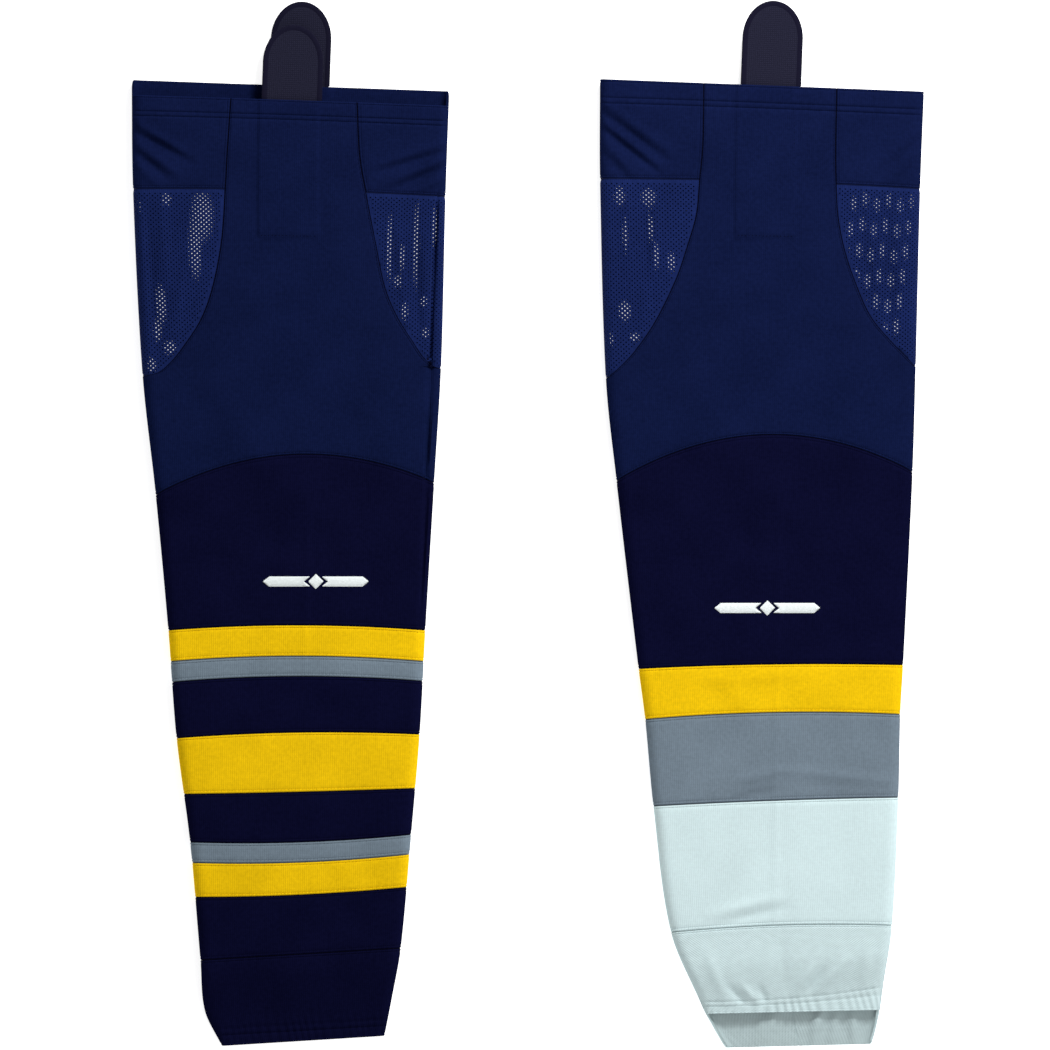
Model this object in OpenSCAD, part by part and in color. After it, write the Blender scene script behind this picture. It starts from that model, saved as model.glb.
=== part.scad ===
// A pair of ice hockey socks, laid flat: knitted leg tubes that cover the shin pads
// and fasten to the hockey pants with hook-and-loop tabs at the thigh.
// Each sock is a hollow, flattened tube of cloth pieces that meet at seams.
// +Y runs from ankle to thigh, +Z is up, and the origin is at the middle of the
// underside, where both socks lie.

/* [Cloth] */
// Height of a sock lying flat
flat_height = 16; // [14:0.5:20]
// Thickness of the knitted cloth
cloth = 1.2; // [1:0.1:1.3]
// Width of the gap between two pieces of cloth, which the seam thread fills
seam_gap = 0.8; // [0.6:0.1:1]
// Depth of the turned hem at the thigh
thigh_hem = 20; // [15:1:25]

/* [Ankle hem] */
// Depth of the elastic casing at the ankle
ankle_hem = 12; // [10:1:14]
// Thickness of the elastic in the casing
elastic = 1; // [0.6:0.1:1]

/* [Tabs] */
// Width of a hook-and-loop tab
tab_width = 48; // [40:1:50]
// Thickness of the tape
tape = 1.3; // [1:0.1:1.4]
// Width of the woven binding along a tab's edge
binding_width = 4.5; // [3:0.5:6]
// Length of the rounded tip of a tab
tab_tip = 30; // [24:1:34]
// Length of the tail sewn inside the sock
tail_length = 115; // [80:5:130]
// Angle by which a tab on the front hangs towards the surface
tab_hang = 5; // [0:0.5:6]

/* [Badge] */
// Length of the embroidered badge
badge_length = 90; // [60:5:100]
// Height of the embroidered badge
badge_height = 12; // [8:1:16]
// Thickness of the embroidery
badge_thick = 0.7; // [0.4:0.1:1]

/* [Hidden] */
$fn = 64;

// Colours
navy = "#1a2a5e";
deep_navy = "#14163a";
mesh_navy = "#24387a";
gold = "#f2c019";
grey = "#8d97a3";
white = "#e6eef0";
charcoal = "#33303d";
near_black = "#1c1a24";
thread = "#39425f";

half = flat_height / 2;
tiny = 0.05;
thread_thick = 0.6;
side_gap = seam_gap / 2;
binding_proud = 0.2; // how far a tab's binding stands above its tape
thread_side = side_gap - 0.1; // half the width of a seam thread
hinge_gap = 0.4; // between a tab and the hem that it comes out of
junction = 0.7; // how far short of another seam a seam thread stops
facing = 0.8;
facing_depth = cloth + tiny; // how deep below the outer face the thigh facing lies
facing_bump = cloth + tape + 3 * tiny; // the same over a tab's tail
facing_reach = 3; // how far the ankle facing reaches past the elastic
top_y = 348.5; // where the thigh edge crosses a sock's centre line
row_step = 30; // the longest row of cloth round the sock

// Round the flattened tube, e goes from 0 at the middle of the front through
// 0.4 where the side fold starts, 0.5 at its outermost line and 0.6 where it ends,
// to 1 at the middle of the back. It is negative on the left side.
FLAT = 0.4;

// Each row of a sock's shape: distance below the thigh edge, flat width, X of the
// centre line, how much lower the right end lies, and how far the middle bows up.
striped_rows = [
    [0, 252, -188, 9, 0], [85, 248, -189, 6, 2], [226, 237, -187, -6, 0],
    [320, 221, -184.5, -9.5, 0], [432, 204, -183, 0, 4], [516, 193, -182, -3, 3],
    [597, 175.5, -180, -6, -3], [689, 159, -180, -9.5, 0], [730, 148, -182, -8, 0],
    [758, 129, -178, -8, 0]
];
block_rows = [
    [0, 257, 186, 10, 0], [78, 254, 184.5, 8, 2], [227, 246, 185, -9.5, 0],
    [310, 235, 188, -7, 0], [461, 210, 193, -3, 2], [501, 202.5, 194.5, -4, 3.5],
    [568, 194.5, 197, -7, 1], [669, 175.5, 201.5, -5.5, 3], [721, 145, 209.5, -12, -3],
    [735, 138, 210.5, -3, 0], [762, 117, 215, -3, 0]
];

// Where the front's side seams run: distance below the thigh edge, then how far out
// the left and the right seam lie, from 0 at the centre to 1 at the fold.
striped_sides = [
    [0, 0.375, 0.42], [50, 0.395, 0.445], [85, 0.41, 0.49], [125, 0.44, 0.555],
    [160, 0.505, 0.615], [185, 0.59, 0.7], [205, 0.71, 0.805], [217, 0.8, 0.87],
    [225, 0.89, 0.94], [228, 1, 1]
];
block_sides = [
    [0, 0.36, 0.46], [50, 0.36, 0.465], [80, 0.38, 0.475], [105, 0.4, 0.49],
    [130, 0.46, 0.53], [155, 0.535, 0.595], [185, 0.665, 0.7], [207, 0.8, 0.84],
    [220, 0.91, 0.94], [228, 1, 1]
];

// A sock: rows, side seams, yoke seam, insert tip, knee seam, height of the knee
// seam's arch, top of the ankle cuff, lower edge, how much lower the front's thigh
// edge lies than the back's, and how much higher its ankle edge lies.
striped = [striped_rows, striped_sides, 85, 228, 320, 27.5, 689, 758, 12, 0];
block = [block_rows, block_sides, 78, 228, 310, 33, 669, 762, 0, 27];

function rows(k) = k[0];
function sides(k) = k[1];
function yoke_s(k) = k[2];
function tip_s(k) = k[3];
function knee_s(k) = k[4];
function arch(k) = k[5];
function cuff_s(k) = k[6];
function end_s(k) = k[7];
function front_drop(k) = k[8];
function front_rise(k) = k[9];

// ---- Smooth interpolation in a table whose first column rises ----

function find(t, s, i = 0) = i >= len(t) - 2 || s < t[i + 1][0] ? i : find(t, s, i + 1);
function rise(t, i, c) =
    let (a = max(i - 1, 0), b = min(i + 1, len(t) - 1)) (t[b][c] - t[a][c]) / (t[b][0] - t[a][0]);
function smooth(t, s, c) =
    let (
        i = find(t, s),
        step = t[i + 1][0] - t[i][0],
        f = (s - t[i][0]) / step,
        m0 = rise(t, i, c) * step,
        m1 = rise(t, i + 1, c) * step
    )
    (2 * f ^ 3 - 3 * f ^ 2 + 1) * t[i][c] + (f ^ 3 - 2 * f ^ 2 + f) * m0
    + (3 * f ^ 2 - 2 * f ^ 3) * t[i + 1][c] + (f ^ 3 - f ^ 2) * m1;
function straight(t, s, c) =
    let (i = find(t, s), f = (s - t[i][0]) / (t[i + 1][0] - t[i][0]))
    t[i][c] * (1 - f) + t[i + 1][c] * f;

// ---- The flattened tube ----

// How far from the centre of the section the cloth is, and how high, at depth off.
function section(a, e, off) =
    let (d = abs(e > 1 ? 2 - e : e), side = e > 1 ? -sign(e) : sign(e))
    d <= FLAT ? [side * a * d / FLAT, flat_height - off]
    : d >= 1 - FLAT ? [side * a * (1 - d) / FLAT, off]
    : let (turn = 180 * (d - FLAT) / (1 - 2 * FLAT), r = half - off)
      [side * (a + r * sin(turn)), half + r * cos(turn)];

// 1 on the front, 0 on the back, and in between round the side fold.
function frontness(e) =
    let (d = abs(e > 1 ? 2 - e : e), f = (1 - FLAT - d) / (1 - 2 * FLAT))
    f >= 1 ? 1 : f <= 0 ? 0 : f * f * (3 - 2 * f);

// Where the front's and the back's edges don't lie level, the cloth between shifts.
function laid(k, s, e) =
    s + frontness(e) * (
        front_drop(k) * max(0, 1 - s / yoke_s(k))
        - front_rise(k) * max(0, (s - cuff_s(k)) / (end_s(k) - cuff_s(k)))
    );

function point(k, s, e, off) =
    let (
        r = laid(k, s, e),
        w = smooth(rows(k), r, 1),
        xz = section(w / 2 - half, e, off),
        u = xz[0] / (w / 2)
    )
    [
        smooth(rows(k), r, 2) + xz[0],
        top_y - r - smooth(rows(k), r, 3) * u / 2 + smooth(rows(k), r, 4) * (1 - u * u),
        xz[1]
    ];

function flat_half(k, s) = smooth(rows(k), s, 1) / 2 - half;

// How far out on the flat lie of the sock e is, from 0 at the centre to 1 at the fold.
function outness(k, s, e) =
    let (a = flat_half(k, s)) section(a, min(abs(e), 0.5), 0)[0] / (a + half);

// Moves e outward by a distance along the cloth.
function along(k, s, e, d) =
    let (a = flat_half(k, s), fold = PI * half)
    let (l = e <= FLAT ? a * e / FLAT : a + fold * (e - FLAT) / (1 - 2 * FLAT))
    let (m = l + d)
    m <= a ? FLAT * m / a : FLAT + (m - a) / fold * (1 - 2 * FLAT);

// The e of the front's side seam; below the insert's tip it stays on the fold.
function side_e(k, s, right) =
    s >= tip_s(k) ? 0.5 :
    let (
        a = flat_half(k, s),
        u = straight(sides(k), s, right ? 2 : 1),
        x = u * (a + half)
    )
    x <= a ? FLAT * x / a : FLAT + asin(min(1, (x - a) / half)) / 180 * (1 - 2 * FLAT);

// How far the knee seam arches towards the thigh, which it does on the front only.
function knee_rise(k, e) =
    abs(e) >= 0.5 ? 0 : let (u = outness(k, knee_s(k), e)) arch(k) * (1 - u * u);

// ---- Sheets of cloth ----

// A sheet is a grid of [s, e, depth of its outer face] points and a thickness.
function sheet_points(k, grid, thick) = concat(
    [for (row = grid) for (p = row) point(k, p[0], p[1], p[2])],
    [for (row = grid) for (p = row) point(k, p[0], p[1], p[2] + thick)]
);

function sheet_faces(rows, cols, at) =
    let (n = rows * cols) [
        for (i = [0:rows - 2]) for (j = [0:cols - 2])
            let (a = at + i * cols + j, b = a + 1, c = b + cols, d = a + cols)
            each [[a, b, c], [a, c, d], [a + n, c + n, b + n], [a + n, d + n, c + n]],
        for (j = [0:cols - 2])
            let (a = at + j, z = at + (rows - 1) * cols + j)
            each [
                [a, a + n, a + 1 + n], [a, a + 1 + n, a + 1],
                [z, z + 1, z + 1 + n], [z, z + 1 + n, z + n]
            ],
        for (i = [0:rows - 2])
            let (a = at + i * cols, z = a + cols - 1)
            each [
                [a, a + cols, a + cols + n], [a, a + cols + n, a + n],
                [z, z + n, z + n + cols], [z, z + n + cols, z + cols]
            ]
    ];

function total(v, i) = i <= 0 ? 0 : v[i - 1] + total(v, i - 1);

module sheets(k, grids, thick) {
    counts = [for (g = grids) 2 * len(g) * len(g[0])];
    polyhedron(
        points = [for (g = grids) each sheet_points(k, g, thick)],
        faces = [
            for (i = [0:len(grids) - 1])
                each sheet_faces(len(grids[i]), len(grids[i][0]), total(counts, i))
        ]
    );
}

function steps(a, b, n) = [for (i = [0:n]) a + (b - a) * i / n];

// Columns all the way round a tube, open at the seam in the middle of the back.
fold_columns = steps(FLAT, 1 - FLAT, 6);
half_ring = concat(steps(0, FLAT, 3), [for (i = [1:6]) fold_columns[i]], [0.8]);
function ring_columns(k, s) =
    let (last = 1 - side_gap * FLAT / flat_half(k, s))
    let (h = concat(half_ring, [last]))
    concat([for (i = [len(h) - 1:-1:1]) -h[i]], h);

// A band of cloth round the sock, with a row at each s of a list. Its first and last
// rows keep a gap to the seams there.
function ring(k, s_list, depth, gap0, gap1) =
    let (last = len(s_list) - 1) [
        for (i = [0:last])
            let (
                f = i / last,
                gap = i == 0 ? gap0 : i == last ? -gap1 : 0,
                arch_left = s_list[0] == knee_s(k) ? 1 - f : 0
            )
            [for (e = ring_columns(k, s_list[0]))
                [s_list[i] + gap - arch_left * knee_rise(k, e), e, depth]]
    ];

function band_rows(s0, s1) = steps(s0, s1, ceil((s1 - s0) / row_step));
function hem_rows(k) = [for (d = [ankle_hem + facing_reach, ankle_hem, 0]) end_s(k) - d];
function cuff_rows(k) = concat(
    [for (s = band_rows(cuff_s(k), hem_rows(k)[0])) if (s < hem_rows(k)[0]) s], hem_rows(k)
);

// Rows of the upper pieces: the yokes, the inserts, and the sides below their tips.
function yoke_rows(k) = steps(0, yoke_s(k), 3);
function insert_rows(k) = [
    for (s = concat([yoke_s(k)], [for (r = sides(k)) if (r[0] > yoke_s(k) + 8) r[0]])) s
];
function lower_rows(k) = steps(tip_s(k), knee_s(k), 3);

// Columns of the front and back panels; at the knee they meet a ring's columns.
upper_half = concat([for (i = [1:3]) half_ring[i]], [for (i = [1:3]) fold_columns[i]]);
upper_columns = concat([for (i = [5:-1:0]) -upper_half[i] / 0.5], [0], upper_half / 0.5);

// How strongly the knee seam's arch already shows in the cloth above it.
function bend(k, s) = let (from = 100) s <= from ? 0 : ((s - from) / (knee_s(k) - from)) ^ 2;

function front_point(k, s, v) =
    let (
        right = v > 0,
        edge = along(k, s, side_e(k, s, right), -side_gap),
        e = edge * v,
        u = outness(k, s, e),
        edge_u = outness(k, s, edge)
    )
    [
        s - arch(k) * bend(k, s) * max(0, edge_u ^ 2 - u ^ 2)
        - (s == knee_s(k) ? side_gap : 0), e, 0
    ];

function back_point(k, s, v) =
    let (
        right = v > 0,
        edge = along(k, s, side_e(k, s, right), -side_gap),
        e = edge * v
    )
    [s - (s == knee_s(k) ? side_gap : 0), 1 - e, 0];

function panel_rows(k) = concat(
    yoke_rows(k), [for (i = [1:len(insert_rows(k)) - 1]) insert_rows(k)[i]],
    [for (i = [1:3]) lower_rows(k)[i]]
);

module front_panel(k) sheets(k, [[
    for (s = panel_rows(k)) [for (v = upper_columns) front_point(k, s, v)]
]], cloth);

module back_panel(k) sheets(k, [[
    for (s = panel_rows(k)) [for (v = upper_columns) back_point(k, s, v)]
]], cloth);

// Columns of an insert, from the front's side seam round the fold to the back's.
function insert_columns(k, s, right, gap) =
    let (
        e0 = along(k, s, side_e(k, s, right), gap),
        m = max(FLAT, e0 + 0.2 * (0.5 - e0)),
        h = [e0, (e0 + m) / 2, m, (2 * m + 0.5) / 3, (m + 1) / 3, 0.5]
    )
    concat(h, [for (i = [len(h) - 2:-1:0]) 1 - h[i]]);

function signed(columns, right) = right
    ? columns
    : [for (i = [len(columns) - 1:-1:0]) -columns[i]];

module insert(k, s_list, right, gap0, gap1) {
    last = len(s_list) - 1;
    sheets(k, [[
        for (i = [0:last])
            let (s = s_list[i] + (i == 0 ? gap0 : i == last ? -gap1 : 0))
            [for (e = signed(insert_columns(k, s, right, side_gap), right)) [s, e, 0]]
    ]], cloth);
}

module yoke(k, right) insert(k, yoke_rows(k), right, 0, side_gap);
module mesh_insert(k, right) insert(k, insert_rows(k), right, side_gap, 1);

module band(k, s0, s1) sheets(k, [ring(k, band_rows(s0, s1), 0, side_gap, side_gap)], cloth);
module cuff(k) sheets(k, [ring(k, cuff_rows(k), 0, side_gap, 0)], cloth);

// ---- Hems ----

// Along the thigh hem the facing steps inward over the tails of the two tabs.
function tab_e(k, x) = FLAT * x / flat_half(k, 0);
function bump(k, x) = [
    for (d = [[-27, 0], [-25, 1], [25, 1], [27, 0]])
        [tab_e(k, x + d[0] * tab_width / 48), d[1] ? facing_bump : facing_depth]
];

module thigh_facing(k, front_x, back_x) {
    back = bump(k, back_x);
    last = 1 - side_gap * FLAT / flat_half(k, 0);
    fold = [for (e = fold_columns) [e, facing_depth]];
    columns = concat(
        [[-last, facing_bump]],
        [for (i = [1, 0]) [-1 - back[i][0], back[i][1]]],
        [for (i = [6:-1:0]) [-fold[i][0], facing_depth]],
        bump(k, front_x),
        fold,
        [for (i = [3, 2]) [1 - back[i][0], back[i][1]]],
        [[last, facing_bump]]
    );
    sheets(k, [[
        for (s = [0.6, thigh_hem]) [for (c = columns) [s, c[0], c[1]]]
    ]], facing);
}

module ankle_facing(k) sheets(
    k, [ring(k, hem_rows(k), cloth + elastic + 2 * tiny, 0, 0.8)], facing
);
module ankle_elastic(k) sheets(
    k, [ring(k, [hem_rows(k)[1], end_s(k)], cloth + tiny, 0.6, 1.6)], elastic
);

// ---- Seams ----

thread_depth = (cloth - thread_thick) / 2;

function ring_thread(k, s) = [
    for (d = [-thread_side, thread_side])
        [for (e = ring_columns(k, s))
            [s + d - (s == knee_s(k) ? knee_rise(k, e) : 0), e, thread_depth]]
];

function side_thread(k, right, back) =
    let (list = concat(
        [0.5], [for (s = panel_rows(k)) if (s > 0 && s < tip_s(k)) s]
    )) [
        for (s = list)
            let (
                e = side_e(k, s, right),
                pair = [for (d = [-thread_side, thread_side]) along(k, s, e, d)],
                placed = back ? [for (i = [1, 0]) 1 - pair[i]] : pair
            )
            [for (c = signed(placed, right)) [s, c, thread_depth]]
    ];

// Below the insert's tip the front and the back meet along the fold.
function fold_thread(k, right) = [
    for (s = steps(tip_s(k) + junction, knee_s(k) - junction - side_gap, 3))
        let (pair = [for (d = [-thread_side, thread_side]) along(k, s, 0.5, d)])
        [for (c = signed(pair, right)) [s, c, thread_depth]]
];

// Between a yoke and its mesh insert.
function yoke_thread(k, right) = [
    for (d = [-thread_side, thread_side])
        let (s = yoke_s(k) + d)
        [for (e = signed(insert_columns(k, s, right, junction), right))
            [s, e, thread_depth]]
];

module seam_threads(k, ring_seams) sheets(k, concat(
    [for (s = ring_seams) ring_thread(k, s)],
    [for (right = [false, true]) for (back = [false, true]) side_thread(k, right, back)],
    [for (right = [false, true]) fold_thread(k, right)],
    [for (right = [false, true]) yoke_thread(k, right)]
), thread_thick);

// Down the middle of the back, from the knee seam to the ankle.
module back_seam(k, ring_seams) {
    rows = concat(
        [knee_s(k) + side_gap + junction],
        [for (i = [0:len(ring_seams) - 2])
            let (r = band_rows(ring_seams[i], ring_seams[i + 1]))
            for (j = [1:len(r) - 1]) r[j]],
        [for (i = [1:len(cuff_rows(k)) - 2]) cuff_rows(k)[i]],
        [end_s(k) - 0.6]
    );
    sheets(k, [[
        for (s = rows)
            let (d = (thread_side - tiny) * FLAT / flat_half(k, s))
            [for (e = [1 - d, 1 + d]) [s, e, thread_depth]]
    ]], thread_thick);
}

// ---- Hook-and-loop tabs ----

// Each tab: its sock, how far right of the sock's centre line it sits, the length
// that comes out of the hem, and whether it is the front one.
striped_front = [striped, 1, 60, true];
striped_back = [striped, 7, 67, false];
block_front = [block, 7, 67.5, true];
block_back = [block, 7, 63, false];

front_z = flat_height - cloth - tiny - tape;
back_z = cloth + tiny;

// A tab stands square to the hem, whose right end lies lower, in the middle of its edge.
module at_hem(t) {
    e = tab_e(t[0], t[1]);
    edge = point(t[0], 0, t[3] ? e : 1 - e, 0);
    slope = -rows(t[0])[0][3] / rows(t[0])[0][1];
    translate([edge[0], edge[1], t[3] ? front_z : back_z]) rotate([0, 0, atan(slope)]) children();
}

// The outline of a tab from its root on Y = 0 to its rounded tip.
module tab_outline(length, inset) {
    half_width = tab_width / 2 - inset;
    straight_part = length - tab_tip;
    polygon(concat(
        [[half_width, 0]],
        [for (a = [0:7.5:180]) [half_width * cos(a), straight_part + (tab_tip - inset) * sin(a)]],
        [[-half_width, 0]]
    ));
}

module free_end(t) {
    at_hem(t) translate([0, hinge_gap, 0]) rotate([t[3] ? -tab_hang : 0, 0, 0]) children();
}

module tab(t) free_end(t) linear_extrude(tape) tab_outline(t[2], binding_width);

module binding(t) free_end(t) translate([0, 0, -binding_proud])
    linear_extrude(tape + 2 * binding_proud) difference() {
        tab_outline(t[2], 0);
        tab_outline(t[2], binding_width);
    }

module tail(t) at_hem(t) translate([-tab_width / 2 + 1, -tail_length, 0])
    cube([tab_width - 2, tail_length - hinge_gap, tape]);

// ---- Badge: two pointed bars with a diamond between them ----

module bar(length, point) {
    polygon([
        [-length / 2, -badge_height / 2 + 2], [length / 2 - point, -badge_height / 2 + 2],
        [length / 2, 0], [length / 2 - point, badge_height / 2 - 2],
        [-length / 2, badge_height / 2 - 2], [-length / 2 + point, 0]
    ]);
}

module badge(x, y) {
    gem = badge_height / 2;
    reach = (badge_length / 2 - gem - 1.5);
    translate([x, y, flat_height + tiny]) linear_extrude(badge_thick) {
        polygon([[-gem, 0], [0, -gem], [gem, 0], [0, gem]]);
        for (side = [0, 1]) mirror([side, 0])
            translate([gem + 1.5 + reach / 2 - 3, 0]) bar(reach, 5);
    }
}

// ---- Seams round each sock ----

striped_seams = [320, 432, 457, 473, 516, 560, 597, 613, 640, 689];
block_seams = [310, 461, 501, 568, 669];

module striped_band(i) band(striped, striped_seams[i], striped_seams[i + 1]);
module block_band(i) band(block, block_seams[i], block_seams[i + 1]);

// ---- Striped sock ----

module striped_front_panel() { color(navy) front_panel(striped); }
module striped_back_panel() { color(navy) back_panel(striped); }
module striped_left_yoke() { color(navy) yoke(striped, false); }
module striped_right_yoke() { color(navy) yoke(striped, true); }
module striped_left_mesh() { color(mesh_navy) mesh_insert(striped, false); }
module striped_right_mesh() { color(mesh_navy) mesh_insert(striped, true); }
module striped_top_hem_facing() { color(navy) thigh_facing(striped, 1, 7); }
module striped_shin_panel() { color(deep_navy) striped_band(0); }
module striped_gold_stripe_upper() { color(gold) striped_band(1); }
module striped_grey_stripe_upper() { color(grey) striped_band(2); }
module striped_navy_band_upper() { color(deep_navy) striped_band(3); }
module striped_gold_stripe_middle() { color(gold) striped_band(4); }
module striped_navy_band_lower() { color(deep_navy) striped_band(5); }
module striped_grey_stripe_lower() { color(grey) striped_band(6); }
module striped_gold_stripe_lower() { color(gold) striped_band(7); }
module striped_ankle_panel() { color(deep_navy) striped_band(8); }
module striped_ankle_cuff() { color(deep_navy) cuff(striped); }
module striped_ankle_hem_facing() { color(deep_navy) ankle_facing(striped); }
module striped_ankle_elastic() { color(white) ankle_elastic(striped); }
module striped_seam_threads() { color(thread) seam_threads(striped, striped_seams); }
module striped_back_seam() { color(thread) back_seam(striped, striped_seams); }
module striped_badge() { color(white) badge(-168, -45); }
module striped_front_tab() { color(charcoal) tab(striped_front); }
module striped_front_tab_binding() { color(near_black) binding(striped_front); }
module striped_front_tab_tail() { color(charcoal) tail(striped_front); }
module striped_back_tab() { color(charcoal) tab(striped_back); }
module striped_back_tab_binding() { color(near_black) binding(striped_back); }
module striped_back_tab_tail() { color(charcoal) tail(striped_back); }

// ---- Colour-block sock ----

module block_front_panel() { color(navy) front_panel(block); }
module block_back_panel() { color(navy) back_panel(block); }
module block_left_yoke() { color(navy) yoke(block, false); }
module block_right_yoke() { color(navy) yoke(block, true); }
module block_left_mesh() { color(mesh_navy) mesh_insert(block, false); }
module block_right_mesh() { color(mesh_navy) mesh_insert(block, true); }
module block_top_hem_facing() { color(navy) thigh_facing(block, 7, 7); }
module block_shin_panel() { color(deep_navy) block_band(0); }
module block_gold_stripe() { color(gold) block_band(1); }
module block_grey_band() { color(grey) block_band(2); }
module block_white_band() { color(white) block_band(3); }
module block_ankle_cuff() { color(white) cuff(block); }
module block_ankle_hem_facing() { color(white) ankle_facing(block); }
module block_ankle_elastic() { color(white) ankle_elastic(block); }
module block_seam_threads() { color(thread) seam_threads(block, block_seams); }
module block_back_seam() { color(thread) back_seam(block, block_seams); }
module block_badge() { color(white) badge(190, -66); }
module block_front_tab() { color(charcoal) tab(block_front); }
module block_front_tab_binding() { color(near_black) binding(block_front); }
module block_front_tab_tail() { color(charcoal) tail(block_front); }
module block_back_tab() { color(charcoal) tab(block_back); }
module block_back_tab_binding() { color(near_black) binding(block_back); }
module block_back_tab_tail() { color(charcoal) tail(block_back); }

striped_front_panel();
striped_back_panel();
striped_left_yoke();
striped_right_yoke();
striped_left_mesh();
striped_right_mesh();
striped_top_hem_facing();
striped_shin_panel();
striped_gold_stripe_upper();
striped_grey_stripe_upper();
striped_navy_band_upper();
striped_gold_stripe_middle();
striped_navy_band_lower();
striped_grey_stripe_lower();
striped_gold_stripe_lower();
striped_ankle_panel();
striped_ankle_cuff();
striped_ankle_hem_facing();
striped_ankle_elastic();
striped_seam_threads();
striped_back_seam();
striped_badge();
striped_front_tab();
striped_front_tab_binding();
striped_front_tab_tail();
striped_back_tab();
striped_back_tab_binding();
striped_back_tab_tail();
block_front_panel();
block_back_panel();
block_left_yoke();
block_right_yoke();
block_left_mesh();
block_right_mesh();
block_top_hem_facing();
block_shin_panel();
block_gold_stripe();
block_grey_band();
block_white_band();
block_ankle_cuff();
block_ankle_hem_facing();
block_ankle_elastic();
block_seam_threads();
block_back_seam();
block_badge();
block_front_tab();
block_front_tab_binding();
block_front_tab_tail();
block_back_tab();
block_back_tab_binding();
block_back_tab_tail();
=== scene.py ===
"""Two ice hockey socks lying flat, front up, on a white table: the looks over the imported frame."""
import math

import bmesh
import bpy
import numpy as np
from mathutils.geometry import delaunay_2d_cdt
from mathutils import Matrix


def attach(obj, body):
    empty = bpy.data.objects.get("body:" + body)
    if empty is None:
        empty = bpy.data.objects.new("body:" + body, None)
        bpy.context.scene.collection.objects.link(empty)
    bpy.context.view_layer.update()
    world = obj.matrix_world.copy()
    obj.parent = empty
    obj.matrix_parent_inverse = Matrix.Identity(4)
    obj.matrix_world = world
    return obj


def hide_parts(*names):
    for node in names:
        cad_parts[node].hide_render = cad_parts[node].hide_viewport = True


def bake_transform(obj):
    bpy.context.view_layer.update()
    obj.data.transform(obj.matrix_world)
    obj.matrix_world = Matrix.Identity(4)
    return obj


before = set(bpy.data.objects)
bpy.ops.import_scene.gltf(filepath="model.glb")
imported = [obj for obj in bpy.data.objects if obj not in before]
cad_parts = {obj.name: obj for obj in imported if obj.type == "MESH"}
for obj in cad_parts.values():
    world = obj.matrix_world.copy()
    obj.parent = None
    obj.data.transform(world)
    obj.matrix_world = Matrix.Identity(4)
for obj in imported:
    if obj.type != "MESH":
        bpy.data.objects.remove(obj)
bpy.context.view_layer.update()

scene = bpy.context.scene

# ---- the cloth's own sizes, in mm
MM = 0.001
HALF = 8.0  # half the height of a sock lying flat
FLAT = 0.4  # share of the way round, front centre to back centre, where the side fold starts
FOLD = math.pi * HALF
TOP = 348.5  # Y where the thigh edge crosses a sock's centre line
PLY = 1.1
SEAM_GAP = 0.8
EDGE_ROUND = 0.6  # how far the cloth rolls in at a seam
STITCH_LINE = 1.9  # how far a seam's topstitching lies from the seam
STITCH_DIP = 0.35
HEM_LINES = (14.5, 19.0)  # the two rows of stitches that hold the thigh hem
THIGH_HEM = 20.0
ANKLE_HEM = 12.0
TAB_WIDTH = 48.0
TAB_TIP = 30.0
TAPE = 1.3
BINDING = 4.5
TAIL = 115.0
TAB_HANG = math.radians(5)
GRID = 2.2  # spacing of the cloth's vertices away from the seams
FINE = 1.3  # spacing where the cloth is gathered
NEAR_SEAM = (0.0, 0.3, 0.7, 1.2, 1.6, 1.9, 2.2, 2.8)  # distances of the vertices next to a seam
NEAR_LINE = (-1.3, -0.7, 0, 0.7, 1.3)  # and on both sides of a row of stitches
ANKLE_FLATTER = 0.5  # how much flatter a sock lies at its ankle
ALLOWANCE_HALF = 3.4  # half the width of the folded edges inside a seam
THREAD = 0.3  # radius of the sewing thread
STITCH_PITCH = 2.8
STITCH_COVER = 0.6  # share of the pitch that one stitch covers
PANEL_HALF, YOKE_HALF = 100, 80  # about half their widths, which sets the spacing of their columns
TAIL_RISE = 1.1  # how far the front tab's tail lifts the cloth over it
SIDES = ("left", "right")


def smooth(table, s, column):
    """Cubic interpolation of a table whose first column rises, as in the part's source."""
    t, v = table[:, 0], table[:, column]
    slope = np.empty(len(t))
    slope[1:-1] = (v[2:] - v[:-2]) / (t[2:] - t[:-2])
    slope[0] = (v[1] - v[0]) / (t[1] - t[0])
    slope[-1] = (v[-1] - v[-2]) / (t[-1] - t[-2])
    i = np.clip(np.searchsorted(t, s, side="right") - 1, 0, len(t) - 2)
    step = t[i + 1] - t[i]
    f = (s - t[i]) / step
    return (
        (2 * f**3 - 3 * f**2 + 1) * v[i]
        + (f**3 - 2 * f**2 + f) * slope[i] * step
        + (3 * f**2 - 2 * f**3) * v[i + 1]
        + (f**3 - f**2) * slope[i + 1] * step
    )


def ease(f):
    f = np.clip(f, 0, 1)
    return f * f * (3 - 2 * f)


def spline(points, count=400):
    """A smooth curve through a few points, sampled evenly in its parameter."""
    p = np.array(points, float)
    p = np.vstack([2 * p[0] - p[1], p, 2 * p[-1] - p[-2]])
    t = np.linspace(0, len(p) - 3 - 1e-9, count)
    i = t.astype(int)
    f = (t - i)[:, None]
    a, b, c, d = p[i], p[i + 1], p[i + 2], p[i + 3]
    square = 2 * a - 5 * b + 4 * c - d
    cube = 3 * b - a - 3 * c + d
    return 0.5 * (2 * b + (c - a) * f + square * f**2 + cube * f**3)


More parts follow.
